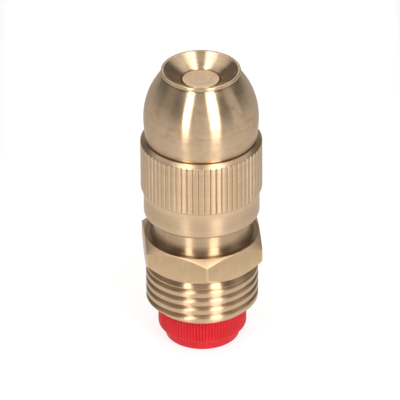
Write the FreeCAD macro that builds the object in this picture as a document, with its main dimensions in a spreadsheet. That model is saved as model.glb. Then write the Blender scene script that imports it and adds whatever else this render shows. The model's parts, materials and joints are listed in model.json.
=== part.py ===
"""Twist-adjustable brass oil burner nozzle with a protective plug in its inlet.

Millimetres, +Z up along the spray axis. The origin is the centre of the plug's
underside, which is what the nozzle stands on. Every size that shapes a sub-part
is a named cell of the sheet "Sizes", and the sketches are driven from it.
"""
import FreeCAD
import Part
import math
import os
import Sketcher

SIZES = {
    # heights of the outside, from the plug's underside up
    "plug_rim_z": 2.60,
    "inlet_end_z": 7.08,
    "thread_top_z": 15.25,
    "hex_seat_z": 16.46,
    "hex_top_z": 21.83,
    "skirt_end_z": 26.17,
    "skirt_top_z": 30.17,
    "knurl_start_z": 31.70,
    "knurl_end_z": 41.08,
    "sleeve_top_z": 41.72,
    "cap_base_z": 41.92,
    "cap_belly_z": 46.00,
    "cap_neck_z": 55.03,
    "rim_z": 55.76,
    # radii of the outside
    "plug_foot_r": 6.30,
    "plug_rim_r": 6.90,
    "plug_head_r": 8.15,
    "thread_r": 10.35,
    "thread_depth": 0.70,
    "thread_lead_in": 1.35,
    "relief_r": 9.60,
    "hex_seat_r": 10.46,
    "hex_flat_r": 10.42,
    "hex_low_rise": 1.84,
    "hex_turned_r": 12.36,
    "hex_across_flats": 21.30,
    "chamfer_crown_arc": 60.00,
    "neck_r": 8.83,
    "neck_foot_r": 9.544,
    "neck_foot_arc": 2.00,
    "neck_foot_rise": 1.532,
    "skirt_r": 10.64,
    "knurl_r": 11.16,
    "knurl_depth": 0.17,
    "sleeve_top_r": 10.35,
    "cap_base_r": 10.21,
    "cap_belly_r": 10.56,
    "cap_neck_r": 7.00,
    "cap_lower_arc": 24.10,
    "cap_upper_arc": 13.26,
    "rim_r": 7.28,
    "mouth_r": 6.70,
    # inside of the body
    "inlet_bore_r": 7.00,
    "inlet_bore_top_z": 21.50,
    "snap_groove_r": 7.45,
    "snap_groove_z": 19.35,
    "step_bore_r": 5.00,
    "valve_bore_r": 5.60,
    "valve_floor_z": 24.00,
    "neck_top_z": 35.20,
    "stem_r": 8.00,
    "stem_relief_r": 7.50,
    "stem_top_z": 47.00,
    "stop_groove_r": 7.30,
    "stop_groove_z": 45.45,
    "carrier_seat_z": 43.10,
    "carrier_seat_r": 6.40,
    # sleeve and cap inside
    "sleeve_bore_r": 8.90,
    "gland_r": 9.90,
    "gland_z": 30.60,
    "gland_width": 2.40,
    "turn_bore_r": 8.05,
    "turn_bore_z": 37.40,
    "turn_bore_top_z": 43.45,
    "stop_clear_r": 8.72,
    "spigot_r": 9.30,
    "spigot_top_z": 45.50,
    "cap_groove_r": 8.62,
    "cap_groove_z": 42.30,
    "cap_bore_r": 9.33,
    "chamber_r": 8.90,
    "chamber_top_z": 48.60,
    "throat_r": 3.61,
    "throat_low_z": 53.00,
    "throat_top_z": 53.86,
    # pin and its fastening
    "pin_head_r": 3.45,
    "pin_top_z": 53.85,
    "pin_shoulder_r": 2.60,
    "pin_thread_r": 2.00,
    "pin_end_z": 39.50,
    "swirl_r": 5.20,
    "swirl_z": 47.20,
    "swirl_thick": 2.00,
    "nut_across_flats": 7.00,
    "nut_z": 40.20,
    "nut_thick": 2.20,
    "washer_thick": 0.70,
    # anti-drip valve
    "seat_bore_r": 2.60,
    "seat_top_z": 26.20,
    "poppet_r": 3.45,
    "poppet_top_z": 27.20,
    "poppet_stem_r": 1.20,
    "spring_r": 2.20,
    "spring_wire_r": 0.20,
    "retainer_z": 31.60,
    "retainer_thick": 1.40,
    # strainer
    "collar_r": 6.96,
    "collar_thick": 1.50,
    "cage_r": 4.30,
    "cage_bore_r": 3.70,
    "cage_end_z": 11.60,
    "mesh_r": 4.60,
    # numbers of like features and pitches
    "thread_pitch": 1.814,
    "knurl_teeth": 64,
    "plug_ribs": 86,
    "turn_pitch": 1.00,
}

doc = FreeCAD.newDocument("OilBurnerNozzle")
sheet = doc.addObject("Spreadsheet::Sheet", "Sizes")
for row, (alias, value) in enumerate(SIZES.items(), 1):
    sheet.set(f"A{row}", alias.replace("_", " "))
    sheet.set(f"B{row}", str(value))
    sheet.setAlias(f"B{row}", alias)
doc.recompute()


def terms(text):
    """Split "neck_r + 0.3" into signed terms, each a size's name or a number."""
    sign = 1
    for word in str(text).split():
        if word in "+-":
            sign = 1 if word == "+" else -1
        else:
            yield sign, word


def number(text):
    """The value of a sum of sizes and numbers."""
    return sum(sign * SIZES[word] if word in SIZES else sign * float(word) for sign, word in terms(text))


def formula(text):
    """The same sum as an expression that reads the sheet."""
    words = [("+" if sign > 0 else "-") + (f"Sizes.{word}" if word in SIZES else word) for sign, word in terms(text)]
    return "0" + "".join(words)


def new_body(name):
    body = doc.addObject("PartDesign::Body", name)
    body.Label = name
    return body


def plane_of(body, role):
    return next(f for f in body.Origin.OriginFeatures if f.Role == role)


def new_sketch(body, name, role="XZ_Plane"):
    sketch = body.newObject("Sketcher::SketchObject", name)
    sketch.AttachmentSupport = (plane_of(body, role), [""])
    sketch.MapMode = "FlatFace"
    return sketch


def drive(sketch, constraint, text=None):
    """Add a constraint, and bind it to the sheet when it carries a size."""
    index = sketch.addConstraint(constraint)
    if text is not None:
        sketch.setExpression(f"Constraints[{index}]", formula(text))
    return index


def pin_point(sketch, edge, end, r, z):
    """Fix one end of an edge at radius r and height z."""
    if number(r) == 0:
        drive(sketch, Sketcher.Constraint("PointOnObject", edge, end, -2))
    else:
        drive(sketch, Sketcher.Constraint("DistanceX", -1, 1, edge, end, number(r)), r)
    if number(z) == 0:
        drive(sketch, Sketcher.Constraint("PointOnObject", edge, end, -1))
    else:
        drive(sketch, Sketcher.Constraint("DistanceY", -1, 1, edge, end, number(z)), z)


def arc_between(a, b, radius, side):
    """Circular arc from a to b, bulging to the given side of the line a to b."""
    chord = b - a
    middle = (a + b) * 0.5
    normal = FreeCAD.Vector(-chord.y, chord.x, 0).normalize() * side
    sagitta = radius - math.sqrt(radius ** 2 - (chord.Length / 2) ** 2)
    return Part.Arc(a, middle + normal * sagitta, b)


def profile(body, name, points, role="XZ_Plane"):
    """Closed sketch through (r, z) points; a third item (radius, side) makes the edge after a point an arc."""
    sketch = new_sketch(body, name, role)
    corners = [FreeCAD.Vector(number(p[0]), number(p[1]), 0) for p in points]
    ends = []
    for i, point in enumerate(points):
        a, b = corners[i], corners[(i + 1) % len(points)]
        if len(point) == 3:
            edge = sketch.addGeometry(arc_between(a, b, number(point[2][0]), point[2][1]), False)
            forward = (sketch.getPoint(edge, 1) - a).Length < 1e-6
            ends.append((edge, 1, 2) if forward else (edge, 2, 1))
            drive(sketch, Sketcher.Constraint("Radius", edge, number(point[2][0])), point[2][0])
        else:
            edge = sketch.addGeometry(Part.LineSegment(a, b), False)
            ends.append((edge, 1, 2))
    for i, point in enumerate(points):
        after = ends[(i + 1) % len(points)]
        drive(sketch, Sketcher.Constraint("Coincident", ends[i][0], ends[i][2], after[0], after[1]))
        pin_point(sketch, ends[i][0], ends[i][1], point[0], point[1])
    return sketch


def turned(name, points):
    """A body turned about the spray axis from one closed profile."""
    body = new_body(name)
    sketch = profile(body, name + "_profile", points)
    turn = body.newObject("PartDesign::Revolution", name + "_turned")
    turn.Profile = sketch
    turn.ReferenceAxis = (sketch, ["V_Axis"])
    turn.Angle = 360
    sketch.Visibility = False
    doc.recompute()
    return body


def check_cut(body, before, what):
    if not body.Shape.Volume < before - 1e-3:
        raise RuntimeError(f"{what} removed nothing from {body.Label}")


def pocket(body, sketch, length, name):
    """Cut a sketch on a level plane upwards by the given length."""
    before = body.Shape.Volume
    cut = body.newObject("PartDesign::Pocket", name)
    cut.Profile = sketch
    cut.Type = 0
    cut.Length = number(length)
    cut.setExpression("Length", formula(length))
    cut.Reversed = True
    doc.recompute()
    check_cut(body, before, name)
    return cut


def level_sketch(body, name, height, turn_deg=0.0):
    """Empty sketch on a level plane at the given height, turned about the axis."""
    sketch = new_sketch(body, name, "XY_Plane")
    rotation = FreeCAD.Rotation(FreeCAD.Vector(0, 0, 1), turn_deg)
    sketch.AttachmentOffset = FreeCAD.Placement(FreeCAD.Vector(0, 0, number(height)), rotation)
    sketch.setExpression("AttachmentOffset.Base.z", formula(height))
    return sketch


def pattern(body, feature, count, name, alias=None):
    """Repeat a cut evenly all the way round the axis."""
    polar = body.newObject("PartDesign::PolarPattern", name)
    polar.Originals = [feature]
    polar.Axis = (plane_of(body, "Z_Axis"), [""])
    polar.Angle = 360
    polar.Occurrences = count
    if alias:
        polar.setExpression("Occurrences", f"Sizes.{alias}")
    body.Tip = polar
    doc.recompute()
    return polar


def hexagon_cut(body, across_flats, low, length, blank_r, turn_deg, name):
    """Mill six flats: everything outside the hexagon is cut away over the given height."""
    sketch = level_sketch(body, name + "_sketch", low, turn_deg)
    corner = number(across_flats) / 2 / math.cos(math.radians(30))
    rim = sketch.addGeometry(Part.Circle(FreeCAD.Vector(), FreeCAD.Vector(0, 0, 1), number(blank_r)), False)
    drive(sketch, Sketcher.Constraint("Coincident", rim, 3, -1, 1))
    drive(sketch, Sketcher.Constraint("Radius", rim, number(blank_r)), blank_r)
    guide = sketch.addGeometry(Part.Circle(FreeCAD.Vector(), FreeCAD.Vector(0, 0, 1), corner), True)
    drive(sketch, Sketcher.Constraint("Coincident", guide, 3, -1, 1))
    index = drive(sketch, Sketcher.Constraint("Radius", guide, corner))
    sketch.setExpression(f"Constraints[{index}]", f"Sizes.{across_flats} / 2 / cos(30 deg)")
    tips = [FreeCAD.Vector(corner * math.cos(math.radians(60 * k)), corner * math.sin(math.radians(60 * k)), 0)
            for k in range(6)]
    sides = [sketch.addGeometry(Part.LineSegment(tips[k], tips[(k + 1) % 6]), False) for k in range(6)]
    for k in range(6):
        drive(sketch, Sketcher.Constraint("Coincident", sides[k], 2, sides[(k + 1) % 6], 1))
        drive(sketch, Sketcher.Constraint("PointOnObject", sides[k], 1, guide))
    for k in range(1, 6):
        drive(sketch, Sketcher.Constraint("Equal", sides[0], sides[k]))
    drive(sketch, Sketcher.Constraint("PointOnObject", sides[0], 1, -1))
    return pocket(body, sketch, length, name)


def hole(body, name, r, at_r, low, length):
    """Straight hole along the axis direction, centred at radius at_r."""
    sketch = level_sketch(body, name + "_sketch", low)
    ring = sketch.addGeometry(Part.Circle(FreeCAD.Vector(at_r, 0, 0), FreeCAD.Vector(0, 0, 1), r), False)
    drive(sketch, Sketcher.Constraint("Radius", ring, r))
    drive(sketch, Sketcher.Constraint("PointOnObject", ring, 3, -1))
    drive(sketch, Sketcher.Constraint("DistanceX", -1, 1, ring, 3, at_r))
    return pocket(body, sketch, length, name)


def wedge_cut(body, name, outer, inner, half_outer, half_inner, low, length, turn_deg=0.0):
    """Cut a straight-sided notch that runs inward from radius outer to radius inner."""
    sketch = level_sketch(body, name + "_sketch", low, turn_deg)
    points = [(outer, -half_outer), (outer, half_outer), (inner, half_inner), (inner, -half_inner)]
    corners = [FreeCAD.Vector(number(x), y, 0) for x, y in points]
    sides = [sketch.addGeometry(Part.LineSegment(corners[k], corners[(k + 1) % 4]), False) for k in range(4)]
    for k, (x, y) in enumerate(points):
        drive(sketch, Sketcher.Constraint("Coincident", sides[k], 2, sides[(k + 1) % 4], 1))
        drive(sketch, Sketcher.Constraint("DistanceX", -1, 1, sides[k], 1, number(x)), x)
        drive(sketch, Sketcher.Constraint("DistanceY", -1, 1, sides[k], 1, y))
    return pocket(body, sketch, length, name)


def helix_cut(body, name, points, pitch, height):
    """Cut a right-hand thread groove by sweeping a profile up a helix."""
    sketch = profile(body, name + "_profile", points)
    before = body.Shape.Volume
    helix = body.newObject("PartDesign::SubtractiveHelix", name)
    helix.Profile = sketch
    helix.ReferenceAxis = (sketch, ["V_Axis"])
    helix.Mode = "pitch-height-angle"
    helix.Pitch = number(pitch)
    helix.Height = number(height)
    helix.setExpression("Pitch", formula(pitch))
    helix.setExpression("Height", formula(height))
    helix.LeftHanded = False
    sketch.Visibility = False
    doc.recompute()
    check_cut(body, before, name)
    return helix


def ring_body(name, inner, outer, low, high, chamfer="0.1"):
    """Plain ring with broken outer edges."""
    return turned(name, [
        (inner, low),
        (outer + " - " + chamfer, low),
        (outer, low + " + " + chamfer),
        (outer, high + " - " + chamfer),
        (outer + " - " + chamfer, high),
        (inner, high),
    ])


def o_ring(name, middle_r, section_r, height):
    """Round-section ring seal."""
    ring = doc.addObject("Part::Torus", name)
    ring.Label = name
    ring.Radius1 = number(middle_r)
    ring.Radius2 = section_r
    ring.setExpression("Radius1", formula(middle_r))
    ring.Placement = FreeCAD.Placement(FreeCAD.Vector(0, 0, number(height)), FreeCAD.Rotation())
    ring.setExpression("Placement.Base.z", formula(height))
    return ring


def nozzle_body():
    """Hexagon nipple: pipe thread, hexagon, smooth neck and hollow stem in one piece."""
    body = turned("nozzle_body", [
        ("inlet_bore_r + 0.45", "inlet_end_z"),
        ("thread_r - thread_lead_in", "inlet_end_z"),
        ("thread_r", "inlet_end_z + thread_lead_in - 0.12"),
        ("thread_r", "thread_top_z"),
        ("relief_r", "hex_seat_z - 0.1"),
        ("relief_r", "hex_seat_z"),
        ("hex_seat_r", "hex_seat_z", ("chamfer_crown_arc", -1)),
        ("hex_turned_r", "hex_seat_z + hex_low_rise"),
        ("hex_turned_r", "hex_top_z - 1.12", ("chamfer_crown_arc", -1)),
        ("hex_flat_r", "hex_top_z"),
        ("neck_foot_r", "hex_top_z", ("neck_foot_arc", 1)),
        ("neck_r", "hex_top_z + neck_foot_rise"),
        ("neck_r", "neck_top_z - 0.3"),
        ("neck_r - 0.3", "neck_top_z"),
        ("stem_relief_r", "neck_top_z"),
        ("stem_relief_r", "neck_top_z + 0.9"),
        ("stem_r", "neck_top_z + 1.4"),
        ("stem_r", "stop_groove_z"),
        ("stop_groove_r", "stop_groove_z"),
        ("stop_groove_r", "stop_groove_z + 0.9"),
        ("stem_r", "stop_groove_z + 0.9"),
        ("stem_r", "stem_top_z - 0.3"),
        ("stem_r - 0.3", "stem_top_z"),
        ("carrier_seat_r", "stem_top_z"),
        ("carrier_seat_r", "carrier_seat_z"),
        ("valve_bore_r", "carrier_seat_z"),
        ("valve_bore_r", "valve_floor_z"),
        ("step_bore_r", "valve_floor_z"),
        ("step_bore_r", "inlet_bore_top_z"),
        ("inlet_bore_r", "inlet_bore_top_z"),
        ("inlet_bore_r", "snap_groove_z + 0.6"),
        ("snap_groove_r", "snap_groove_z + 0.6"),
        ("snap_groove_r", "snap_groove_z"),
        ("inlet_bore_r", "snap_groove_z"),
        ("inlet_bore_r", "inlet_end_z + 0.45"),
    ])
    hexagon_cut(body, "hex_across_flats", "hex_seat_z - 0.3", "hex_top_z - hex_seat_z + 0.6",
                "hex_turned_r + 1", -85.5, "hex_flats")
    low = "inlet_end_z - thread_pitch"
    helix_cut(body, "inlet_thread", [
        ("thread_r + 0.15", low + " + 0.25"),
        ("thread_r - thread_depth", low + " + 0.95"),
        ("thread_r - thread_depth", low + " + 1.00"),
        ("thread_r + 0.15", low + " + 1.46"),
    ], "thread_pitch", "thread_top_z - inlet_end_z + thread_pitch - 1.4")
    return body


def adjusting_sleeve():
    """Knurled grip with a smooth skirt below and a spigot for the cap above."""
    body = turned("adjusting_sleeve", [
        ("sleeve_bore_r + 0.3", "skirt_end_z"),
        ("skirt_r - 0.22", "skirt_end_z"),
        ("skirt_r", "skirt_end_z + 0.45"),
        ("skirt_r", "skirt_top_z"),
        ("knurl_r - 0.12", "knurl_start_z - 0.13"),
        ("knurl_r", "knurl_start_z"),
        ("knurl_r", "knurl_end_z"),
        ("sleeve_top_r", "sleeve_top_z"),
        ("spigot_r", "sleeve_top_z"),
        ("spigot_r", "cap_groove_z"),
        ("cap_groove_r", "cap_groove_z"),
        ("cap_groove_r", "cap_groove_z + 0.95"),
        ("spigot_r", "cap_groove_z + 0.95"),
        ("spigot_r", "spigot_top_z - 0.2"),
        ("spigot_r - 0.2", "spigot_top_z"),
        ("stop_clear_r", "spigot_top_z"),
        ("stop_clear_r", "turn_bore_top_z"),
        ("turn_bore_r", "turn_bore_top_z"),
        ("turn_bore_r", "turn_bore_z + 0.3"),
        ("turn_bore_r + 0.3", "turn_bore_z"),
        ("sleeve_bore_r", "turn_bore_z"),
        ("sleeve_bore_r", "gland_z + gland_width"),
        ("gland_r", "gland_z + gland_width"),
        ("gland_r", "gland_z"),
        ("sleeve_bore_r", "gland_z"),
        ("sleeve_bore_r", "skirt_end_z + 0.3"),
    ])
    groove = wedge_cut(body, "knurl_groove", "knurl_r + 0.2", "knurl_r - knurl_depth", 0.30, 0.05,
                       "knurl_start_z - 0.3", "knurl_end_z - knurl_start_z + 1")
    pattern(body, groove, SIZES["knurl_teeth"], "knurl", "knurl_teeth")
    return body


def nozzle_cap():
    """Bullet-shaped cap with the flared mouth and the throat the pin stands in."""
    return turned("nozzle_cap", [
        ("cap_bore_r", "cap_base_z"),
        ("cap_base_r - 0.12", "cap_base_z"),
        ("cap_base_r", "cap_base_z + 0.12", ("cap_lower_arc", -1)),
        ("cap_belly_r", "cap_belly_z", ("cap_upper_arc", -1)),
        ("cap_neck_r", "cap_neck_z"),
        ("cap_neck_r", "cap_neck_z + 0.10"),
        ("rim_r", "cap_neck_z + 0.22"),
        ("rim_r", "rim_z - 0.1"),
        ("rim_r - 0.1", "rim_z"),
        ("mouth_r", "rim_z"),
        ("throat_r", "throat_top_z"),
        ("throat_r", "throat_low_z"),
        ("throat_r + 0.86", "throat_low_z - 0.6"),
        ("chamber_r", "chamber_top_z"),
        ("chamber_r", "spigot_top_z + 0.02"),
        ("cap_bore_r", "spigot_top_z + 0.02"),
    ])


def spray_pin():
    """Flat-ended pin that closes the throat, with a threaded shank below."""
    body = turned("spray_pin", [
        ("0", "pin_end_z"),
        ("pin_thread_r - 0.3", "pin_end_z"),
        ("pin_thread_r", "pin_end_z + 0.3"),
        ("pin_thread_r", "swirl_z + swirl_thick"),
        ("pin_shoulder_r", "swirl_z + swirl_thick"),
        ("pin_shoulder_r", "pin_top_z - 3.6"),
        ("pin_head_r", "pin_top_z - 2.1"),
        ("pin_head_r", "pin_top_z - 0.08"),
        ("pin_head_r - 0.08", "pin_top_z"),
        ("0", "pin_top_z"),
    ])
    slot = level_sketch(body, "driver_slot_sketch", "pin_end_z - 0.2")
    corners = [FreeCAD.Vector(x, y, 0) for x, y in ((-2.5, -0.3), (2.5, -0.3), (2.5, 0.3), (-2.5, 0.3))]
    for k in range(4):
        slot.addGeometry(Part.LineSegment(corners[k], corners[(k + 1) % 4]), False)
    pocket(body, slot, "1.0", "driver_slot")
    return body


def pin_carrier():
    """Perforated disc in the top of the stem that holds the pin on the axis."""
    body = turned("pin_carrier", [
        ("pin_thread_r + 0.02", "carrier_seat_z"),
        ("carrier_seat_r - 0.02", "carrier_seat_z"),
        ("carrier_seat_r - 0.02", "carrier_seat_z + 3.3"),
        ("3.4", "carrier_seat_z + 3.3"),
        ("3.1", "swirl_z"),
        ("pin_thread_r + 0.02", "swirl_z"),
    ])
    flow = hole(body, "flow_hole", 1.15, 4.75, "carrier_seat_z - 0.2", "3.8")
    pattern(body, flow, 6, "flow_holes")
    return body


def swirl_distributor():
    """Disc with slanting slots round its edge that spin the oil before the throat."""
    body = turned("swirl_distributor", [
        ("pin_thread_r + 0.02", "swirl_z"),
        ("swirl_r - 0.15", "swirl_z"),
        ("swirl_r", "swirl_z + 0.15"),
        ("swirl_r", "swirl_z + swirl_thick - 0.5"),
        ("swirl_r - 0.5", "swirl_z + swirl_thick"),
        ("pin_thread_r + 0.02", "swirl_z + swirl_thick"),
    ])
    before = body.Shape.Volume
    slot = body.newObject("PartDesign::SubtractiveBox", "swirl_slot")
    slot.Length = 2.6
    slot.Width = 0.9
    slot.Height = 6.0
    middle = FreeCAD.Vector(number("swirl_r") - 1.4, 0, number("swirl_z") + number("swirl_thick") / 2)
    tilt = FreeCAD.Rotation(FreeCAD.Vector(1, 0, 0), 35)
    slot.Placement = FreeCAD.Placement(middle - tilt.multVec(FreeCAD.Vector(0, 0.45, 3.0)), tilt)
    doc.recompute()
    check_cut(body, before, "swirl_slot")
    pattern(body, slot, 6, "swirl_slots")
    return body


def pin_lock_nut():
    """Small hexagon nut that locks the pin below its carrier."""
    body = turned("pin_lock_nut", [
        ("pin_thread_r + 0.02", "nut_z"),
        ("3.4", "nut_z"),
        ("4.1", "nut_z + 0.4"),
        ("4.1", "nut_z + nut_thick - 0.4"),
        ("3.4", "nut_z + nut_thick"),
        ("pin_thread_r + 0.02", "nut_z + nut_thick"),
    ])
    hexagon_cut(body, "nut_across_flats", "nut_z - 0.2", "nut_thick + 0.4", "5.5", 10, "nut_flats")
    return body


def split_ring(name, inner, outer, low, thick, gap_half, turn_deg):
    """Flat spring ring with a gap in it."""
    body = ring_body(name, inner, outer, low, low + " + " + thick, "0.05")
    wedge_cut(body, name + "_gap", outer + " + 1", inner + " - 1", gap_half, gap_half,
              low + " - 0.2", thick + " + 0.4", turn_deg)
    return body


def lock_washer():
    """Split spring washer between the nut and the carrier."""
    return split_ring("lock_washer", "pin_thread_r + 0.1", "3.6", "nut_z + nut_thick", "washer_thick", 0.25, 40)


def stop_ring():
    """Open retaining ring on the stem that ends the sleeve's forward travel."""
    return split_ring("stop_ring", "stop_groove_r + 0.02", "8.6", "stop_groove_z + 0.05",
                      "0.8", 1.6, 200)


def strainer_snap_ring():
    """Open ring sprung into the inlet bore under the strainer's collar."""
    return split_ring("strainer_snap_ring", "6.15", "snap_groove_r - 0.03", "snap_groove_z + 0.05",
                      "0.5", 1.4, 120)


def valve_seat_ring():
    """Ring pressed against the bore's step; the valve poppet closes on its bevel."""
    return turned("valve_seat_ring", [
        ("seat_bore_r", "valve_floor_z"),
        ("valve_bore_r - 0.01", "valve_floor_z"),
        ("valve_bore_r - 0.01", "seat_top_z"),
        ("seat_bore_r + 0.6", "seat_top_z"),
        ("seat_bore_r", "seat_top_z - 0.6"),
    ])


def valve_poppet():
    """Anti-drip valve poppet with its guide stem."""
    return turned("valve_poppet", [
        ("0", "seat_top_z - 0.8"),
        ("seat_bore_r - 0.25", "seat_top_z - 0.8"),
        ("poppet_r", "seat_top_z + 0.3"),
        ("poppet_r", "poppet_top_z"),
        ("poppet_stem_r", "poppet_top_z"),
        ("poppet_stem_r", "retainer_z + retainer_thick - 0.2"),
        ("poppet_stem_r - 0.2", "retainer_z + retainer_thick"),
        ("0", "retainer_z + retainer_thick"),
    ])


def spring_retainer():
    """Perforated disc pressed into the bore that guides the poppet and backs its spring."""
    body = turned("spring_retainer", [
        ("poppet_stem_r + 0.06", "retainer_z"),
        ("valve_bore_r - 0.01", "retainer_z"),
        ("valve_bore_r - 0.01", "retainer_z + retainer_thick"),
        ("poppet_stem_r + 0.06", "retainer_z + retainer_thick"),
    ])
    flow = hole(body, "drain_hole", 1.05, 4.0, "retainer_z - 0.2", "retainer_thick + 0.4")
    pattern(body, flow, 5, "drain_holes")
    return body


def valve_spring():
    """Compression spring of round wire between the poppet and the retainer, with its ends set flat."""
    wire_r = sheet.spring_wire_r
    low = sheet.poppet_top_z + wire_r + 0.02
    high = sheet.retainer_z - wire_r - 0.02
    coils = 4
    steps = 24
    points = []
    for k in range(coils * steps + 1):
        turn = k / steps
        first = min(turn / 0.75, 1.0)
        middle = min(max((turn - 0.75) / (coils - 1.5), 0.0), 1.0)
        last = min(max((turn - coils + 0.75) / 0.75, 0.0), 1.0)
        rise = 0.10 * first + 0.80 * middle + 0.10 * last
        angle = 2 * math.pi * turn
        points.append(FreeCAD.Vector(sheet.spring_r * math.cos(angle), sheet.spring_r * math.sin(angle),
                                     low + (high - low) * rise))
    curve = Part.BSplineCurve()
    curve.interpolate(points)
    path = Part.Wire(curve.toShape())
    section = Part.Wire(Part.Circle(points[0], curve.tangent(curve.FirstParameter)[0], wire_r).toShape())
    coil = path.makePipeShell([section], True, True)
    feature = doc.addObject("Part::Feature", "valve_spring")
    feature.Label = "valve_spring"
    feature.Shape = coil
    return feature


def strainer_collar():
    """Collar that hangs the strainer from the step at the top of the inlet bore."""
    return turned("strainer_collar", [
        ("cage_bore_r", "inlet_bore_top_z - collar_thick"),
        ("collar_r", "inlet_bore_top_z - collar_thick"),
        ("collar_r", "inlet_bore_top_z"),
        ("cage_bore_r", "inlet_bore_top_z"),
    ])


def strainer_cage():
    """Tube with long windows that carries the gauze."""
    body = turned("strainer_cage", [
        ("cage_bore_r", "cage_end_z"),
        ("mesh_r", "cage_end_z"),
        ("mesh_r", "cage_end_z + 0.6"),
        ("cage_r", "cage_end_z + 0.6"),
        ("cage_r", "inlet_bore_top_z - collar_thick"),
        ("cage_bore_r", "inlet_bore_top_z - collar_thick"),
    ])
    window = wedge_cut(body, "window", "cage_r + 1", "cage_bore_r - 1", 1.9, 1.9, "cage_end_z + 1.2", "6.2")
    pattern(body, window, 5, "windows")
    return body


def strainer_gauze():
    """Fine wire gauze wrapped round the cage, drawn as a thin plain tube."""
    return turned("strainer_gauze", [
        ("cage_r + 0.02", "cage_end_z + 0.65"),
        ("mesh_r", "cage_end_z + 0.65"),
        ("mesh_r", "inlet_bore_top_z - collar_thick - 0.05"),
        ("cage_r + 0.02", "inlet_bore_top_z - collar_thick - 0.05"),
    ])


def strainer_end_cap():
    """Cap that closes the lower end of the strainer."""
    return turned("strainer_end_cap", [
        ("0", "cage_end_z - 0.9"),
        ("mesh_r - 0.4", "cage_end_z - 0.9"),
        ("mesh_r", "cage_end_z - 0.5"),
        ("mesh_r", "cage_end_z"),
        ("cage_bore_r - 0.02", "cage_end_z"),
        ("cage_bore_r - 0.02", "cage_end_z + 0.9"),
        ("0", "cage_end_z + 0.9"),
    ])


def protective_plug():
    """Moulded plug with a ribbed head and a hollow shank that pushes into the inlet."""
    body = turned("protective_plug", [
        ("0", "0"),
        ("plug_foot_r", "0", ("0.62", -1)),
        ("plug_rim_r", "0.45"),
        ("plug_rim_r", "plug_rim_z - 0.75"),
        ("plug_head_r", "plug_rim_z - 0.15"),
        ("plug_head_r", "inlet_end_z - 0.05"),
        ("inlet_bore_r - 0.07", "inlet_end_z - 0.05"),
        ("inlet_bore_r - 0.07", "12.0"),
        ("inlet_bore_r - 0.37", "12.4"),
        ("inlet_bore_r - 1.3", "12.4"),
        ("inlet_bore_r - 1.3", "8.2"),
        ("0", "8.2"),
    ])
    groove = wedge_cut(body, "rib_groove", "plug_head_r + 0.2", "plug_head_r - 0.22", 0.26, 0.03,
                       "plug_rim_z - 0.45", "inlet_end_z - plug_rim_z + 0.35")
    pattern(body, groove, SIZES["plug_ribs"], "ribs", "plug_ribs")
    return body


def seal_rings():
    """The two round-section seals and the backing ring in the sleeve's gland."""
    return [
        o_ring("sleeve_o_ring", "sleeve_bore_r + 0.46", 0.49, "gland_z + 0.66"),
        ring_body("sleeve_backup_ring", "neck_r + 0.05", "gland_r - 0.05", "gland_z + 1.3", "gland_z + 2.3"),
        o_ring("cap_o_ring", "cap_groove_r + 0.355", 0.345, "cap_groove_z + 0.475"),
    ]


def check_and_write(features):
    """Stop on any feature that failed, then write one STEP file for each sub-part."""
    doc.recompute()
    bad = [f"{o.Name}: {o.State}" for o in doc.Objects if "Invalid" in o.State or "Error" in o.State]
    if bad:
        raise RuntimeError("; ".join(bad))
    os.makedirs("parts", exist_ok=True)
    for feature in features:
        shape = feature.Shape
        if shape.isNull() or not shape.isValid() or len(shape.Solids) != 1:
            raise RuntimeError(f"{feature.Label} is not one valid solid: {len(shape.Solids)} solids")
        shape.exportStep(f"parts/{feature.Label}.step")
        box = shape.BoundBox
        print(f"{feature.Label:20s} {shape.Volume:9.2f} mm3  z {box.ZMin:6.2f} to {box.ZMax:6.2f}")


check_and_write([
    nozzle_body(),
    adjusting_sleeve(),
    nozzle_cap(),
    spray_pin(),
    pin_carrier(),
    swirl_distributor(),
    pin_lock_nut(),
    lock_washer(),
    stop_ring(),
    valve_seat_ring(),
    valve_poppet(),
    valve_spring(),
    spring_retainer(),
    strainer_collar(),
    strainer_cage(),
    strainer_gauze(),
    strainer_end_cap(),
    strainer_snap_ring(),
    protective_plug(),
] + seal_rings())
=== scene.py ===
import bpy
import bmesh
import json
import math
import numpy as np
from mathutils import Matrix, Quaternion, Vector


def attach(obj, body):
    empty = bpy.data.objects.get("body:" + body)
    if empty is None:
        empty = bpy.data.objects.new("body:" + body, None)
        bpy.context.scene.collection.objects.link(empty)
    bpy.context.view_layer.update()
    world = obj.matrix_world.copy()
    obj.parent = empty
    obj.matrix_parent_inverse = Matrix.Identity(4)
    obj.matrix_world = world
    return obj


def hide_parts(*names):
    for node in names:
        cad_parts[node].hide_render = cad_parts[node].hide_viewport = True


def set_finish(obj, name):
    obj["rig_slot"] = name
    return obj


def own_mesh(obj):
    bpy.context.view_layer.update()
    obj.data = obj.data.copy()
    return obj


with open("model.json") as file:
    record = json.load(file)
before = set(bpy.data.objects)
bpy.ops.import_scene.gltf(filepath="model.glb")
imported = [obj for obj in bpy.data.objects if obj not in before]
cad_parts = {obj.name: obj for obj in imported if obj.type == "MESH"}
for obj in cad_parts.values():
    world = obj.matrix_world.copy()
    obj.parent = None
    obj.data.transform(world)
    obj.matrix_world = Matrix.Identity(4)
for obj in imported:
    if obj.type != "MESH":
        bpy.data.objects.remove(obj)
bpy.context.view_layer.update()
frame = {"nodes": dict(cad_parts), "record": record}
record = frame["record"]
MM = 0.001

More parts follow.
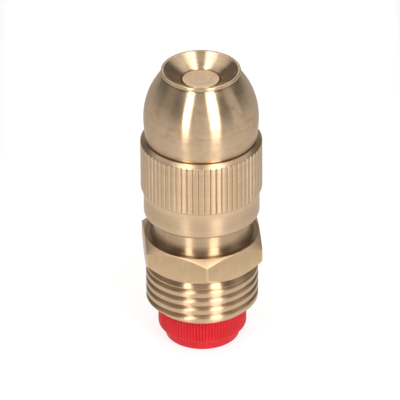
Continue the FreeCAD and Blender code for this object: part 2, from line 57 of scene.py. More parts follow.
# Heights and radii, in millimetres, of the turned shapes. They are those of the CAD model.
INLET_END, THREAD_TOP, HEX_SEAT, HEX_TOP = 7.08, 15.25, 16.46, 21.83
THREAD_R, THREAD_DEPTH, PITCH, RELIEF_R = 10.35, 0.70, 1.814, 9.60
HEX_FLATS, HEX_TURN = 21.30, -85.5
HEX_SEAT_R, HEX_FACE_R, HEX_TURNED_R = 10.46, 10.42, 12.36
HEX_LOW_RISE, HEX_TOP_RISE = 1.84, 1.12
NECK_R, NECK_TOP, FOOT_R, FOOT_ARC = 8.83, 35.20, 2.0, 50.0
KNURL_R, KNURL_DEPTH, KNURL_TEETH = 11.16, 0.17, 64
RIB_R, RIB_DEPTH, RIBS = 8.15, 0.22, 86


# ---------------------------------------------------------------- mesh making
def arc_points(a, b, radius, side, count):
    """Points from a to just before b on a circular arc that bulges to one side of the chord."""
    a, b = np.array(a, float), np.array(b, float)
    chord = b - a
    length = np.hypot(*chord)
    normal = np.array([-chord[1], chord[0]]) / length * side
    sagitta = radius - math.sqrt(radius ** 2 - (length / 2) ** 2)
    centre = (a + b) / 2 + normal * (sagitta - radius)
    start = math.atan2(*(a - centre)[::-1])
    end = math.atan2(*(b - centre)[::-1])
    sweep = (end - start + math.pi) % (2 * math.pi) - math.pi
    angles = start + sweep * np.arange(count) / count
    return [tuple(centre + radius * np.array([math.cos(t), math.sin(t)])) for t in angles]


def eased(points, radius=0.06, steps=3, closed=True):
    """Round every corner of an (r, z) outline by a small radius, as turning and tumbling leave it."""
    out = []
    n = len(points)
    for i, p in enumerate(points):
        p = np.array(p, float)
        if not closed and i in (0, n - 1):
            out.append(tuple(p))
            continue
        before = np.array(points[i - 1], float) - p
        after = np.array(points[(i + 1) % n], float) - p
        lb, la = np.hypot(*before), np.hypot(*after)
        if lb < 1e-9 or la < 1e-9:
            out.append(tuple(p))
            continue
        cos = float(before @ after / lb / la)
        if cos < -0.97:
            out.append(tuple(p))
            continue
        cut = min(radius, lb * 0.4, la * 0.4)
        a, b = p + before / lb * cut, p + after / la * cut
        for k in range(steps + 1):
            t = k / steps
            out.append(tuple(a * (1 - t) ** 2 + p * 2 * t * (1 - t) + b * t ** 2))
    return out


def grid_mesh(name, rings, closed_profile=True):
    """Mesh from an array [columns][rows] of points: columns close round the axis."""
    rings = np.array(rings, float)
    columns, rows, _ = rings.shape
    index = np.arange(columns * rows).reshape(columns, rows)
    faces = []
    last = rows if closed_profile else rows - 1
    for c in range(columns):
        here, there = index[c], index[(c + 1) % columns]
        for r in range(last):
            s = (r + 1) % rows
            faces.append((here[r], there[r], there[s], here[s]))
    mesh = bpy.data.meshes.new(name)
    mesh.from_pydata([tuple(v) for v in rings.reshape(-1, 3) * MM], [], [tuple(map(int, f)) for f in faces])
    bm = bmesh.new()
    bm.from_mesh(mesh)
    bmesh.ops.remove_doubles(bm, verts=bm.verts, dist=1e-8)
    bmesh.ops.dissolve_degenerate(bm, edges=bm.edges, dist=1e-8)
    bmesh.ops.recalc_face_normals(bm, faces=bm.faces)
    bm.to_mesh(mesh)
    bm.free()
    for polygon in mesh.polygons:
        polygon.use_smooth = True
    mesh.set_sharp_from_angle(angle=math.radians(38))
    made = bpy.data.objects.new(name, mesh)
    bpy.context.scene.collection.objects.link(made)
    return made


def lathe(name, columns, outline, closed=True, turn=0.0):
    """Turned piece; outline(angle) gives the same number of (r, z) points at every angle."""
    rings = []
    for c in range(columns):
        angle = 2 * math.pi * c / columns + turn
        rz = np.array(outline(angle), float)
        rings.append(np.stack([rz[:, 0] * math.cos(angle), rz[:, 0] * math.sin(angle), rz[:, 1]], 1))
    return grid_mesh(name, rings, closed)


def wires(name, paths, thickness, sides=8):
    """Round wires along lists of points, as one piece; the section is at right angles to each path."""
    mesh = bpy.data.meshes.new(name)
    bm = bmesh.new()
    for path, closed in paths:
        count = len(path)
        rings = []
        for k, point in enumerate(path):
            ahead = path[(k + 1) % count] if closed else path[min(k + 1, count - 1)]
            behind = path[k - 1] if closed else path[max(k - 1, 0)]
            along = (Vector(ahead) - Vector(behind)).normalized()
            outward = Vector((point[0], point[1], 0)).normalized()
            across = along.cross(outward).normalized()
            outward = across.cross(along)
            ring = []
            for t in np.linspace(0, 2 * math.pi, sides, endpoint=False):
                radial = math.cos(t) * outward + math.sin(t) * across
                ring.append(bm.verts.new((Vector(point) + thickness / 2 * radial) * MM))
            rings.append(ring)
        for k in range(count if closed else count - 1):
            a, b = rings[k], rings[(k + 1) % count]
            for n in range(sides):
                bm.faces.new((a[n], a[(n + 1) % sides], b[(n + 1) % sides], b[n]))
        if not closed:
            bm.faces.new(rings[0])
            bm.faces.new(rings[-1])
    bmesh.ops.recalc_face_normals(bm, faces=bm.faces)
    bm.to_mesh(mesh)
    bm.free()
    for polygon in mesh.polygons:
        polygon.use_smooth = len(polygon.vertices) == 4
    made = bpy.data.objects.new(name, mesh)
    bpy.context.scene.collection.objects.link(made)
    return made


def place(piece, body, slot, *nodes):
    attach(piece, body)
    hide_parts(*nodes)
    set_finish(piece, slot)
    return piece


# ---------------------------------------------------------------- the pieces
def thread_radius(angle, z):
    """Radius of the right-hand pipe thread at an angle and height: flat crests, flanks eased at both ends."""
    rise = (z - (INLET_END - PITCH) - PITCH * angle / (2 * math.pi)) % PITCH
    ramp = min(max(min((rise - 0.38) / 0.59, (1.38 - rise) / 0.38), 0.0), 1.0)
    soft = ramp * ramp * (3 - 2 * ramp) * 0.35 + ramp * 0.65
    return THREAD_R - THREAD_DEPTH * soft


def nipple_outline(angle):
    """Section of the nipple at one angle: thread, relief, hexagon, neck, stem and bore."""
    points = [(7.45, INLET_END), (8.97, INLET_END), (9.02, INLET_END + 0.015)]
    for z in np.arange(INLET_END + 0.05, THREAD_TOP + 0.01, 0.05):
        chamfer = 9.0 + (z - INLET_END) * 1.1
        fade = min(max((THREAD_TOP - z) / 0.45, 0.0), 1.0)
        cut = THREAD_R - (THREAD_R - thread_radius(angle, z)) * fade
        points.append((min(cut, chamfer), z))
    points += [(THREAD_R, THREAD_TOP + 0.04), (THREAD_R - 0.04, THREAD_TOP + 0.12),
               (RELIEF_R + 0.02, HEX_SEAT - 0.15), (RELIEF_R, HEX_SEAT - 0.10), (RELIEF_R + 0.1, HEX_SEAT)]
    off = (math.degrees(angle) - HEX_TURN) % 60.0
    off = min(off, 60.0 - off)
    flat = HEX_FLATS / 2 / math.cos(math.radians(30.0 - off))
    low_edge = HEX_SEAT + (flat - HEX_SEAT_R) * HEX_LOW_RISE / (HEX_TURNED_R - HEX_SEAT_R)
    high_edge = HEX_TOP - (flat - HEX_FACE_R) * HEX_TOP_RISE / (HEX_TURNED_R - HEX_FACE_R)
    points += [
        (10.36, HEX_SEAT),
        (10.48, HEX_SEAT + 0.05),
        (flat - 0.05, low_edge - 0.06),
        (flat - 0.008, low_edge + 0.02),
        (flat, low_edge + 0.10),
        (flat, (low_edge + high_edge) / 2),
        (flat, high_edge - 0.12),
        (flat - 0.015, high_edge - 0.03),
        (flat - 0.12, high_edge + 0.05),
        (10.46, HEX_TOP - 0.02),
        (10.36, HEX_TOP),
    ]
    foot_z = HEX_TOP + FOOT_R * math.sin(math.radians(FOOT_ARC))
    points += [(NECK_R + FOOT_R * (1 - math.cos(t)), foot_z - FOOT_R * math.sin(t))
               for t in np.radians(np.linspace(FOOT_ARC, 0.0, 12))]
    points += [
        (NECK_R, 26.0), (NECK_R, 30.0), (NECK_R, NECK_TOP - 0.3), (NECK_R - 0.3, NECK_TOP), (7.5, NECK_TOP),
        (7.5, 36.1), (8.0, 36.6), (8.0, 45.45), (7.3, 45.45), (7.3, 46.35), (8.0, 46.35), (8.0, 46.7),
        (7.7, 47.0), (6.4, 47.0), (6.4, 43.1), (5.6, 43.1), (5.6, 24.0), (5.0, 24.0), (5.0, 21.5),
        (7.0, 21.5), (7.0, 19.95), (7.45, 19.95), (7.45, 19.35), (7.0, 19.35), (7.0, 7.53),
    ]
    return points


def knurl_radius(angle):
    """Straight knurl: broad lands with narrow rounded grooves."""
    x = abs((angle * KNURL_TEETH / (2 * math.pi)) % 1.0 - 0.5)      # 0 at a groove's middle
    ramp = min(max(x / 0.15, 0.0), 1.0)
    return KNURL_R - KNURL_DEPTH * (1 - ramp * ramp * (3 - 2 * ramp))


def sleeve_outline(angle):
    """Section of the adjusting sleeve at one angle."""
    r = knurl_radius(angle)
    shelf = min(r, 11.04)
    low = max(31.60, 31.70 - (KNURL_R - r) * 0.8)
    high = 41.72 - (r - 10.35) * 0.64 / 0.81
    outside = [
        (9.2, 26.17), (10.22, 26.17), (10.36, 26.19), (10.46, 26.28), (10.625, 26.58), (10.64, 26.66),
        (10.64, 28.0), (10.64, 30.05), (10.655, 30.20), (shelf - 0.02, 31.52), (shelf, 31.57),
        (r - 0.01, low), (r, low + 0.03), (r, low + 0.12), (r, 36.5), (r, high - 0.12), (r, high - 0.03),
        (r - 0.02, high + 0.01), (r - 0.09, high + 0.065), (10.42, 41.665), (10.33, 41.70), (10.25, 41.72),
    ]
    inside = [
        (9.3, 41.72), (9.3, 42.3), (8.62, 42.3), (8.62, 43.25), (9.3, 43.25), (9.3, 45.3), (9.1, 45.5),
        (8.72, 45.5), (8.72, 43.45), (8.05, 43.45), (8.05, 37.7), (8.35, 37.4), (8.9, 37.4), (8.9, 33.0),
        (9.9, 33.0), (9.9, 30.6), (8.9, 30.6), (8.9, 26.47),
    ]
    return outside + inside


def cap_outline(_angle):
    """Section of the cap: bullet, lip, mouth cone, throat and chamber."""
    base = [(9.45, 41.92), (10.05, 41.92), (10.14, 41.94)]
    lower = arc_points((10.21, 42.04), (10.56, 46.0), 24.1, -1, 10)
    upper = arc_points((10.56, 46.0), (7.0, 55.03), 13.26, -1, 26)
    lip = [(7.0, 55.02), (7.0, 55.12), (7.02, 55.16), (7.22, 55.22), (7.28, 55.28), (7.28, 55.62),
           (7.265, 55.69), (7.21, 55.74), (7.12, 55.76), (6.84, 55.76), (6.76, 55.745), (6.70, 55.70)]
    mouth = [(5.7, 55.085), (4.6, 54.42), (3.70, 53.87), (3.63, 53.81), (3.61, 53.73)]
    inner = [(3.61, 53.0), (4.4, 52.4), (8.9, 48.6), (8.9, 45.52), (9.33, 45.52), (9.33, 42.1)]
    return base + lower + upper + lip + mouth + inner


def pin_outline(_angle):
    """Section of the pin from its lower end on the axis to its flat end."""
    return [(0, 39.5), (1.7, 39.5), (2.0, 39.8), (2.0, 49.2), (2.6, 49.2), (2.6, 50.4), (3.41, 51.84),
            (3.45, 51.96), (3.45, 53.73), (3.435, 53.80), (3.39, 53.84), (3.31, 53.85), (2.4, 53.85),
            (1.4, 53.85), (0.5, 53.85), (0, 53.85)]


def rib_radius(angle):
    """Fine ribs of the plug's head: round crests, sharp narrow valleys."""
    x = abs((angle * RIBS / (2 * math.pi)) % 1.0 - 0.5) * 2   # 0 in the valley, 1 on the crest
    return RIB_R - RIB_DEPTH * (1 - math.sin(x * math.pi / 2)) ** 1.2


def plug_outline(angle):
    """Section of the moulded plug at one angle."""
    r = rib_radius(angle)
    low = 2.42 + (RIB_R - r) * 0.5
    return [
        (0, 0.0), (3.0, 0.0), (6.1, 0.0), (6.4, 0.02), (6.66, 0.10), (6.83, 0.25), (6.90, 0.46),
        (6.92, 1.10), (6.93, 1.70), (7.02, 1.92), (7.35, 2.12), (min(7.95, r), low - 0.08),
        (r, low + 0.16), (r, 4.2), (r, 6.55), (r - 0.03, 6.78), (r - 0.10, 6.94), (r - 0.25, 7.03),
        (6.93, 7.03), (6.93, 12.0), (6.80, 12.3), (6.6, 12.4), (5.80, 12.4), (5.7, 12.3), (5.7, 8.2),
        (0, 8.2),
    ]


nipple = place(lathe("nipple_turned", 432, nipple_outline, turn=math.radians(HEX_TURN)), "nipple",
               "body_brass", "nozzle_body")
sleeve = place(lathe("sleeve_knurled", KNURL_TEETH * 10, sleeve_outline), "sleeve",
               "sleeve_brass", "adjusting_sleeve")
cap = place(lathe("cap_bullet", 256, cap_outline), "sleeve", "cap_brass", "nozzle_cap")
pin = place(lathe("pin_flat_end", 192, pin_outline, closed=False), "nipple", "pin_brass", "spray_pin")
plug = place(lathe("plug_ribbed", RIBS * 8, plug_outline, closed=False), "plug", "plug_plastic",
             "protective_plug")


def spring_path(radius, low, high, coils, steps=36):
    """Middle line of the valve spring, its end coils laid flatter than the rest."""
    points = []
    for k in range(coils * steps + 1):
        turn = k / steps
        rise = (0.10 * min(turn / 0.75, 1.0) + 0.80 * min(max((turn - 0.75) / (coils - 1.5), 0.0), 1.0)
                + 0.10 * min(max((turn - coils + 0.75) / 0.75, 0.0), 1.0))
        points.append((radius * math.cos(2 * math.pi * turn), radius * math.sin(2 * math.pi * turn),
                       low + (high - low) * rise))
    return points


def gauze_paths(inner, outer, low, high, uprights, hoops):
    """Upright wires inside and hoops outside, crossing like a woven strainer."""
    paths = []
    for k in range(uprights):
        a = 2 * math.pi * k / uprights
        x, y = inner * math.cos(a), inner * math.sin(a)
        paths.append(([(x, y, z) for z in (low, (low + high) / 2, high)], False))
    for z in np.linspace(low + 0.08, high - 0.08, hoops):
        paths.append(([(outer * math.cos(a), outer * math.sin(a), z)
                       for a in np.linspace(0, 2 * math.pi, 72, endpoint=False)], True))
    return paths


spring = place(wires("valve_spring_coil", [(spring_path(2.20, 27.42, 31.38, 4), False)], 0.40, 12), "nipple",
               "spring_steel", "valve_spring")
gauze = place(wires("gauze_wires", gauze_paths(4.39, 4.525, 12.26, 19.94, 48, 27), 0.13, 6), "nipple",
              "gauze", "strainer_gauze")
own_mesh(spring)


# ---------------------------------------------------------------- materials
class Graph:
    """A material's node tree with short names for the few nodes used here."""

    def __init__(self, name):
        self.material = bpy.data.materials.new(name)
        self.material.use_nodes = True
        self.tree = self.material.node_tree
        self.tree.nodes.clear()
        self.out = self.tree.nodes.new("ShaderNodeOutputMaterial")
        self.shader = self.tree.nodes.new("ShaderNodeBsdfPrincipled")
        self.tree.links.new(self.shader.outputs[0], self.out.inputs[0])
        coordinate = self.tree.nodes.new("ShaderNodeTexCoord")
        scale = self.tree.nodes.new("ShaderNodeVectorMath")
        scale.operation = "SCALE"
        scale.inputs["Scale"].default_value = 1000.0
        self.link(coordinate.outputs["Object"], scale.inputs[0])
        self.mm = scale.outputs[0]

    def link(self, a, b):
        self.tree.links.new(a, b)

    def feed(self, value, socket):
        if isinstance(value, bpy.types.NodeSocket):
            self.link(value, socket)
        else:
            socket.default_value = value

    def math(self, operation, a, b=0.0, c=0.0):
        node = self.tree.nodes.new("ShaderNodeMath")
        node.operation = operation
        self.feed(a, node.inputs[0])
        self.feed(b, node.inputs[1])
        self.feed(c, node.inputs[2])
        return node.outputs[0]

    def axes(self):
        node = self.tree.nodes.new("ShaderNodeSeparateXYZ")
        self.link(self.mm, node.inputs[0])
        return node.outputs

    def noise(self, scale, detail=2.0, vector=None, roughness=0.5):
        node = self.tree.nodes.new("ShaderNodeTexNoise")
        node.inputs["Scale"].default_value = scale
        node.inputs["Detail"].default_value = detail
        node.inputs["Roughness"].default_value = roughness
        self.link(vector or self.mm, node.inputs["Vector"])
        return node.outputs["Fac"]

    def noise_1d(self, w, scale, detail=2.0, roughness=0.5):
        node = self.tree.nodes.new("ShaderNodeTexNoise")
        node.noise_dimensions = "1D"
        node.inputs["Scale"].default_value = scale
        node.inputs["Detail"].default_value = detail
        node.inputs["Roughness"].default_value = roughness
        self.link(w, node.inputs["W"])
        return node.outputs["Fac"]

    def stretched(self, x, y, z):
        node = self.tree.nodes.new("ShaderNodeVectorMath")
        node.operation = "MULTIPLY"
        self.link(self.mm, node.inputs[0])
        node.inputs[1].default_value = (x, y, z)
        return node.outputs[0]

    def remap(self, value, low, high, to_low, to_high):
        node = self.tree.nodes.new("ShaderNodeMapRange")
        self.feed(value, node.inputs["Value"])
        for key, number in (("From Min", low), ("From Max", high), ("To Min", to_low), ("To Max", to_high)):
            node.inputs[key].default_value = number
        return node.outputs["Result"]

    def mix(self, factor, a, b, mode="MIX"):
        node = self.tree.nodes.new("ShaderNodeMix")
        node.data_type = "RGBA"
        node.blend_type = mode
        self.feed(factor, node.inputs["Factor"])
        colours = [s for s in node.inputs if s.type == "RGBA"]
        self.feed(a, colours[0])
        self.feed(b, colours[1])
        return next(s for s in node.outputs if s.type == "RGBA")

    def bump(self, height, strength, distance_mm, normal=None):
        node = self.tree.nodes.new("ShaderNodeBump")
        node.inputs["Strength"].default_value = strength
        node.inputs["Distance"].default_value = distance_mm * MM
        self.link(height, node.inputs["Height"])
        if normal is not None:
            self.link(normal, node.inputs["Normal"])
        return node.outputs["Normal"]

    def painted_recess_shade(self, reach_mm, low, high):
        """0 on open surfaces, rising to 1 deep in grooves and corners, from ambient occlusion: the mask of
        painted shade in recesses, partly also standing for oil and tarnish.
        """
        node = self.tree.nodes.new("ShaderNodeAmbientOcclusion")
        node.samples = 8
        node.inputs["Distance"].default_value = reach_mm * MM
        return self.remap(node.outputs["AO"], high, low, 0.0, 1.0)

    def radius(self):
        x, y, _ = self.axes()
        return self.math("SQRT", self.math("ADD", self.math("MULTIPLY", x, x), self.math("MULTIPLY", y, y)))


def brass(name, bright, deep, rough=0.24, aniso=0.75, marks=1.0, spread=0.04,
          crevice_shade=0.75, crevice_shade_reach=1.1, lines=0.10, shade_bands=(), specks=0.0):
    """Turned brass: rings left by the tool, slow colour drift, tiny pits, and sharp edges painted lighter,
    partly as wear and partly as a painted highlight.

    crevice_shade paints shade into recesses (partly also tarnish), shade_bands lists (low, high, share) bands
    of height painted darker as shade, and specks adds fine dust and stains.
    """
    g = Graph(name)
    radius = g.radius()
    height = g.axes()[2]
    along = g.math("ADD", height, g.math("MULTIPLY", radius, 1.37))
    rings = g.noise_1d(along, 9.0, 5.0, 0.7)
    bands = g.noise_1d(along, 1.3, 2.0)
    drift = g.noise(0.22, 3.0)
    pits = g.noise(5.0, 3.0, roughness=0.65)
    pit_mask = g.remap(pits, 0.70, 0.78, 0.0, 1.0)
    tone = g.math("ADD", g.math("MULTIPLY", drift, 0.6), g.math("MULTIPLY", bands, 0.4))
    colour = g.mix(g.remap(tone, 0.35, 0.65, 0.0, 1.0), deep, bright)
    colour = g.mix(g.math("MULTIPLY", g.remap(rings, 0.35, 0.65, 0.0, 1.0), lines), colour, bright)
    colour = g.mix(g.math("MULTIPLY", pit_mask, 0.35), colour, [c * 0.45 for c in deep[:3]] + [1.0])
    geometry = g.tree.nodes.new("ShaderNodeNewGeometry")
    # Sharp edges painted lighter: partly worn edges, partly a painted highlight.
    edges = g.remap(geometry.outputs["Pointiness"], 0.52, 0.60, 0.0, 1.0)
    colour = g.mix(g.math("MULTIPLY", edges, 0.35), colour, [min(1.0, c * 1.18) for c in bright[:3]] + [1.0])
    # Recesses painted darker towards a brown by ambient occlusion: painted shade, partly also tarnish.
    if crevice_shade:
        colour = g.mix(g.math("MULTIPLY", g.painted_recess_shade(crevice_shade_reach, 0.35, 0.85), crevice_shade), colour, SHADE_AND_TARNISH)
    # Bands of height painted darker in an oily brown: painted shade, such as under the skirt and at the
    # neck's foot.
    for low, high, share in shade_bands:
        band_shade = g.math("MULTIPLY", g.remap(height, low - 0.05, low + 0.05, 0.0, 1.0),
                      g.remap(height, high, low + 0.4 * (high - low), 0.0, 1.0))
        colour = g.mix(g.math("MULTIPLY", band_shade, share), colour, OIL_STAIN_AND_SHADE)
    if specks:
        dots = g.remap(g.noise(2.6, 1.0), 0.655, 0.70, 0.0, 1.0)
        dust = g.math("MULTIPLY", dots, g.remap(drift, 0.40, 0.55, 0.0, 1.0))
        colour = g.mix(g.math("MULTIPLY", dust, specks), colour, DUST)
        stain = g.remap(g.noise(0.55, 4.0, roughness=0.6), 0.52, 0.70, 0.0, 1.0)
        colour = g.mix(g.math("MULTIPLY", stain, specks * 0.5), colour, OIL_STAIN_AND_SHADE)
    g.feed(colour, g.shader.inputs["Base Color"])
    g.shader.inputs["Metallic"].default_value = 1.0
    g.shader.inputs["Specular Tint"].default_value = EDGE_TINT
    roughness = g.remap(g.math("ADD", g.math("MULTIPLY", rings, 0.5), g.math("MULTIPLY", drift, 0.5)),
                        0.3, 0.7, rough - spread, rough + spread)
    g.feed(roughness, g.shader.inputs["Roughness"])
    g.shader.inputs["Anisotropic"].default_value = aniso
    g.shader.inputs["Anisotropic Rotation"].default_value = 0.25
    tangent = g.tree.nodes.new("ShaderNodeTangent")
    tangent.direction_type = "RADIAL"
    tangent.axis = "Z"
    g.link(tangent.outputs[0], g.shader.inputs["Tangent"])
    surface = g.bump(rings, 0.30 * marks, 0.012)
    surface = g.bump(pit_mask, -0.15, 0.02, surface)
    g.link(surface, g.shader.inputs["Normal"])
    return g.material


def bar_brass(name, bright, deep, rough=0.34):
    """Drawn hexagon bar: faint streaks along the bar, a fine grain and small knocks, and a painted highlight
    along the sharp edges.
    """
    g = Graph(name)
    streaks = g.noise(3.0, 4.0, g.stretched(1.0, 1.0, 0.06), 0.6)
    grain = g.noise(7.0, 4.0, roughness=0.7)
    drift = g.noise(0.30, 3.0)
    knocks = g.remap(g.noise(1.6, 2.0), 0.70, 0.76, 0.0, 1.0)
    tone = g.math("ADD", g.math("MULTIPLY", streaks, 0.45), g.math("MULTIPLY", drift, 0.55))
    colour = g.mix(g.remap(tone, 0.36, 0.64, 0.0, 1.0), deep, bright)
    colour = g.mix(g.math("MULTIPLY", g.remap(grain, 0.4, 0.6, 0.0, 1.0), 0.10), colour, bright)
    colour = g.mix(g.math("MULTIPLY", knocks, 0.30), colour, [c * 0.6 for c in deep[:3]] + [1.0])
    geometry = g.tree.nodes.new("ShaderNodeNewGeometry")
    # Sharp edges painted much lighter: a painted highlight along the edges.
    edges = g.remap(geometry.outputs["Pointiness"], 0.51, 0.58, 0.0, 1.0)
    colour = g.mix(g.math("MULTIPLY", edges, 0.85), colour, [min(1.0, c * 1.5) for c in bright[:3]] + [1.0])
    g.feed(colour, g.shader.inputs["Base Color"])
    g.shader.inputs["Metallic"].default_value = 1.0
    g.shader.inputs["Specular Tint"].default_value = EDGE_TINT
    g.feed(g.remap(grain, 0.3, 0.7, rough - 0.05, rough + 0.06), g.shader.inputs["Roughness"])
    surface = g.bump(grain, 0.12, 0.01)
    surface = g.bump(streaks, 0.10, 0.02, surface)
    g.link(surface, g.shader.inputs["Normal"])
    return g.material


def moulded(name, bright, deep, rough=0.36, coat=0.25, scatter=0.0):
    """Injection-moulded plastic with a fine spark texture, slight sink marks and scuffs."""
    g = Graph(name)
    drift = g.noise(0.35, 2.0)
    grain = g.noise(12.0, 3.0, roughness=0.6)
    scuff = g.remap(g.noise(2.4, 3.0, g.stretched(1.0, 1.0, 3.0)), 0.64, 0.74, 0.0, 1.0)
    colour = g.mix(g.remap(drift, 0.35, 0.65, 0.0, 1.0), deep, bright)
    scuffed = [min(1.0, c * 1.4 + 0.05) for c in bright[:3]] + [1.0]
    colour = g.mix(g.math("MULTIPLY", scuff, 0.12), colour, scuffed)
    g.feed(colour, g.shader.inputs["Base Color"])
    g.feed(g.remap(grain, 0.3, 0.7, rough - 0.05, rough + 0.07), g.shader.inputs["Roughness"])
    g.shader.inputs["Specular IOR Level"].default_value = 0.3
    g.shader.inputs["Coat Weight"].default_value = coat
    g.shader.inputs["Coat Roughness"].default_value = 0.22
    g.shader.inputs["Subsurface Weight"].default_value = scatter
    g.shader.inputs["Subsurface Scale"].default_value = 0.0006
    g.link(g.bump(grain, 0.10, 0.015), g.shader.inputs["Normal"])
    return g.material


def steel(name, bright, deep, rough=0.30):
    """Plain or spring steel with a drawn grain."""
    g = Graph(name)
    grain = g.noise(8.0, 4.0, g.stretched(1.0, 1.0, 0.3), 0.65)
    drift = g.noise(0.8, 2.0)
    g.feed(g.mix(g.remap(drift, 0.35, 0.65, 0.0, 1.0), deep, bright), g.shader.inputs["Base Color"])
    g.shader.inputs["Metallic"].default_value = 1.0
    g.feed(g.remap(grain, 0.3, 0.7, rough - 0.06, rough + 0.08), g.shader.inputs["Roughness"])
    g.link(g.bump(grain, 0.12, 0.01), g.shader.inputs["Normal"])
    return g.material


def rubber(name):
    """Black nitrile rubber with a faint bloom."""
    g = Graph(name)
    bloom = g.noise(1.5, 4.0)
    grain = g.noise(14.0, 3.0)
    g.feed(g.mix(g.remap(bloom, 0.4, 0.7, 0.0, 1.0), (0.012, 0.012, 0.013, 1), (0.035, 0.034, 0.033, 1)),
           g.shader.inputs["Base Color"])
    g.feed(g.remap(grain, 0.3, 0.7, 0.42, 0.58), g.shader.inputs["Roughness"])
    g.link(g.bump(grain, 0.15, 0.01), g.shader.inputs["Normal"])
    return g.material


BRIGHT, DEEP = (0.80, 0.59, 0.39, 1), (0.72, 0.515, 0.33, 1)
EDGE_TINT = (0.80, 0.79, 0.80, 1)
# Brown of the painted shade in recesses (partly tarnish), and oily brown of real stains and of the painted
# shade in height bands.
SHADE_AND_TARNISH, OIL_STAIN_AND_SHADE = (0.30, 0.235, 0.165, 1), (0.32, 0.205, 0.115, 1)
DUST = (0.50, 0.40, 0.28, 1)

# Radiance of the sky at the horizon and overhead, the floor near and in front of the nozzle, and the strips.
HORIZON, WORLD = 0.66, 0.095
FLOOR_GLOW, FRONT_GLOW = 0.76, 0.345
STRIP, WARM = 6.5, (1.0, 0.97, 0.90)
# The camera's view in millimetres from side to side, and its degrees above the horizon and of lean.
VIEW_WIDTH, ELEVATION, LEAN = 73.3945, 30.75, -0.38

looks = {
    # Its height bands are painted shade over the thread, at the relief under the hexagon and at the neck's
    # foot.
    "body_brass": brass("brass_turned_body", BRIGHT, DEEP, rough=0.34, aniso=0.985, marks=0.5, crevice_shade=0.25,
                        shade_bands=((7.0, 20.0, 0.12), (15.15, 17.4, 0.46), (21.7, 23.6, 0.85))),
    # Its height bands are painted shade at the skirt's lower edge, over the skirt and in a line below the
    # knurl.
    "sleeve_brass": brass("brass_knurled_sleeve", BRIGHT, DEEP, rough=0.34, aniso=0.87, marks=0.3,
                          spread=0.02, crevice_shade=0.40, crevice_shade_reach=0.35,
                          shade_bands=((26.1, 26.75, 0.7), (26.75, 32.5, 0.10), (31.42, 31.66, 0.45))),
    "cap_brass": brass("brass_polished_cap", BRIGHT, DEEP, rough=0.26, aniso=0.97, marks=0.06, spread=0.012,
                       crevice_shade=0.5, lines=0.05, specks=0.5),
    "pin_brass": brass("brass_pin", BRIGHT, DEEP, rough=0.26, aniso=0.5, marks=1.5),
    "inner_brass": brass("brass_inner", BRIGHT, DEEP, rough=0.32, aniso=0.4),
    "steel": steel("steel_plain", (0.62, 0.62, 0.62, 1), (0.46, 0.46, 0.47, 1)),
    "spring_steel": steel("steel_spring", (0.45, 0.45, 0.47, 1), (0.30, 0.30, 0.32, 1), 0.26),
    "seal_rubber": rubber("rubber_seal"),
    "backing_plastic": moulded("plastic_backing_ring", (0.86, 0.85, 0.82, 1), (0.78, 0.77, 0.74, 1),
                               rough=0.45, coat=0.0),
    "strainer_plastic": moulded("plastic_strainer", (0.80, 0.77, 0.70, 1), (0.70, 0.67, 0.60, 1),
                                rough=0.42, coat=0.05),
    "gauze": steel("steel_gauze", (0.60, 0.60, 0.58, 1), (0.40, 0.40, 0.40, 1), 0.34),
    "plug_plastic": moulded("plastic_red_plug", (0.63, 0.012, 0.021, 1), (0.55, 0.008, 0.015, 1),
                            rough=0.45, coat=0.0, scatter=0.05),
}
hexagon_look = bar_brass("brass_hexagon_bar", (0.63, 0.455, 0.275, 1), (0.545, 0.385, 0.228, 1))
# The chamfer's brass is the turned brass painted lighter: a painted lit copy.
lit_chamfer_look = brass("brass_hexagon_chamfer", (0.90, 0.67, 0.45, 1), (0.82, 0.60, 0.39, 1),
                     rough=0.50, aniso=0.50, marks=0.5, crevice_shade=0.1)

slots = {entry["node"]: entry["material_slot"] for entry in record["subparts"]}
for node, shown in frame["nodes"].items():
    look = looks[slots[node]]
    if not shown.material_slots:
        shown.data.materials.append(look)
    for used in shown.material_slots:
        used.material = look
for piece in (nipple, sleeve, cap, pin, plug, spring, gauze):
    piece.data.materials.append(looks[piece["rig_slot"]])
nipple.data.materials.append(hexagon_look)
nipple.data.materials.append(lit_chamfer_look)
for polygon in nipple.data.polygons:
    x, y, z = polygon.center / MM
    if HEX_SEAT + 0.1 < z < HEX_TOP - 0.05 and math.hypot(x, y) > 10.5 and abs(polygon.normal.z) < 0.25:
        polygon.material_index = 1
    elif HEX_TOP - 1.4 < z < HEX_TOP - 0.03 and math.hypot(x, y) > 10.4:
        polygon.material_index = 2


# ---------------------------------------------------------------- studio
def floor():
    mesh = bpy.data.meshes.new("studio_floor")
    size = 4.0
    corners = [(-size, -size, 0), (size, -size, 0), (size, size, 0), (-size, size, 0)]
    mesh.from_pydata(corners, [], [(0, 1, 2, 3)])
    made = bpy.data.objects.new("studio_floor", mesh)
    bpy.context.scene.collection.objects.link(made)
    made.location.z = -0.0002
    g = Graph("studio_floor_paper")
    paper = g.noise(0.02, 3.0)
    g.feed(g.mix(g.remap(paper, 0.3, 0.7, 0.0, 1.0), (0.29, 0.29, 0.29, 1), (0.32, 0.32, 0.32, 1)),
           g.shader.inputs["Base Color"])
    g.shader.inputs["Roughness"].default_value = 0.9
    g.shader.inputs["Specular IOR Level"].default_value = 0.1
    g.shader.inputs["Emission Color"].default_value = (1, 1, 1, 1)
    # The floor glows by emission, stronger in a patch behind and beside the nozzle: a painted pool of light.
    x, y, _ = g.axes()
    behind = g.remap(y, -60.0, -18.0, 0.0, 1.0)
    beside = g.remap(g.math("ABSOLUTE", x), 50.0, 37.5, 0.0, 1.0)
    lit = g.math("MULTIPLY", behind, beside)
    g.feed(g.remap(lit, 0.0, 1.0, FRONT_GLOW, FLOOR_GLOW), g.shader.inputs["Emission Strength"])
    mesh.materials.append(g.material)


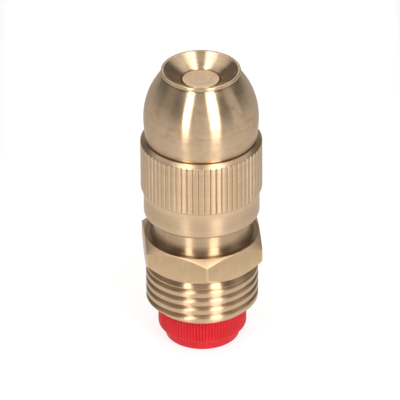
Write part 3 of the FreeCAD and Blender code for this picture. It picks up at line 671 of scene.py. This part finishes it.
def softbox(name, place_at, aim, width, height, radiance, colour=(1, 1, 1), up=(0, 0, 1)):
    """Rectangular light of a given radiance, from one point towards another; its height runs along up."""
    data = bpy.data.lights.new(name, "AREA")
    data.shape = "RECTANGLE"
    data.size = width
    data.size_y = height
    data.energy = radiance * width * height * math.pi
    data.color = colour
    made = bpy.data.objects.new(name, data)
    bpy.context.scene.collection.objects.link(made)
    forward = (Vector(aim) - Vector(place_at)).normalized()
    side = forward.cross(Vector(up)).normalized()
    top = side.cross(forward)
    made.matrix_world = Matrix.Translation(Vector(place_at)) @ Matrix(
        ((side.x, top.x, -forward.x), (side.y, top.y, -forward.y), (side.z, top.z, -forward.z))).to_4x4()
    made.visible_camera = False


def round_box(name, azimuth, elevation, distance, width, height, radiance, colour=(1, 1, 1)):
    """Softbox that faces the middle of the nozzle. Azimuth 0 is the camera's side, 90 is the right."""
    a, e = math.radians(azimuth), math.radians(elevation)
    back = Vector((math.sin(a) * math.cos(e), -math.cos(a) * math.cos(e), math.sin(e)))
    middle = Vector((0, 0, 0.035))
    softbox(name, middle + back * distance, middle, width, height, radiance, colour)


def studio():
    floor()
    round_box("strip_left", -30, 27, 0.60, 0.13, 0.62, STRIP, WARM)
    round_box("strip_right", 28, 27, 0.60, 0.19, 0.62, STRIP, WARM)
    for label, x in (("left", -0.20), ("right", 0.20)):
        softbox("overhead_" + label, (x, -0.03, 0.68), (0, 0, 0.05), 0.19, 0.52, 2.35, up=(0, 1, 0))
    softbox("overhead_middle", (0, 0, 0.75), (0, 0, 0.05), 0.9, 0.9, 0.45, up=(0, 1, 0))
    round_box("front_fill", 0, 25, 0.90, 0.45, 0.60, 0.52)
    round_box("side_left", -78, 22, 0.70, 0.30, 0.60, 0.12)
    round_box("side_right", 78, 22, 0.70, 0.30, 0.60, 0.38)
    round_box("back", 180, 42, 0.80, 0.35, 0.40, 1.0)
    round_box("back_left", -125, 50, 0.80, 0.45, 0.30, 0.7)
    round_box("back_right", 125, 50, 0.80, 0.45, 0.30, 0.7)
    world = bpy.data.worlds.new("studio_world")
    world.use_nodes = True
    tree = world.node_tree
    background = tree.nodes["Background"]
    background.inputs[0].default_value = (1, 1, 1, 1)
    direction = tree.nodes.new("ShaderNodeTexCoord")
    split = tree.nodes.new("ShaderNodeSeparateXYZ")
    fade = tree.nodes.new("ShaderNodeMapRange")
    fade.interpolation_type = "SMOOTHSTEP"
    for key, number in (("From Min", 0.0), ("From Max", 0.16), ("To Min", HORIZON), ("To Max", WORLD)):
        fade.inputs[key].default_value = number
    tree.links.new(direction.outputs["Generated"], split.inputs[0])
    tree.links.new(split.outputs[2], fade.inputs["Value"])
    tree.links.new(fade.outputs["Result"], background.inputs[1])
    bpy.context.scene.world = world
    bpy.context.scene.view_settings.view_transform = "Standard"


def camera():
    """Long lens from above, leaning a little, as the photograph does."""
    data = bpy.data.cameras.new("camera")
    made = bpy.data.objects.new("camera", data)
    bpy.context.scene.collection.objects.link(made)
    data.lens = 600.0
    data.sensor_width = 36.0
    elevation = math.radians(ELEVATION)
    back = Vector((0, -math.cos(elevation), math.sin(elevation)))
    target = Vector((-0.30, 0, 28.2)) * MM
    made.rotation_mode = "QUATERNION"
    made.rotation_quaternion = (-back).to_track_quat("-Z", "Y") @ Quaternion((0, 0, 1), math.radians(LEAN))
    made.location = target + back * (VIEW_WIDTH * MM * data.lens / data.sensor_width)
    data.clip_start, data.clip_end = 0.05, 20.0
    bpy.context.scene.camera = made


studio()
camera()
bpy.context.view_layer.update()
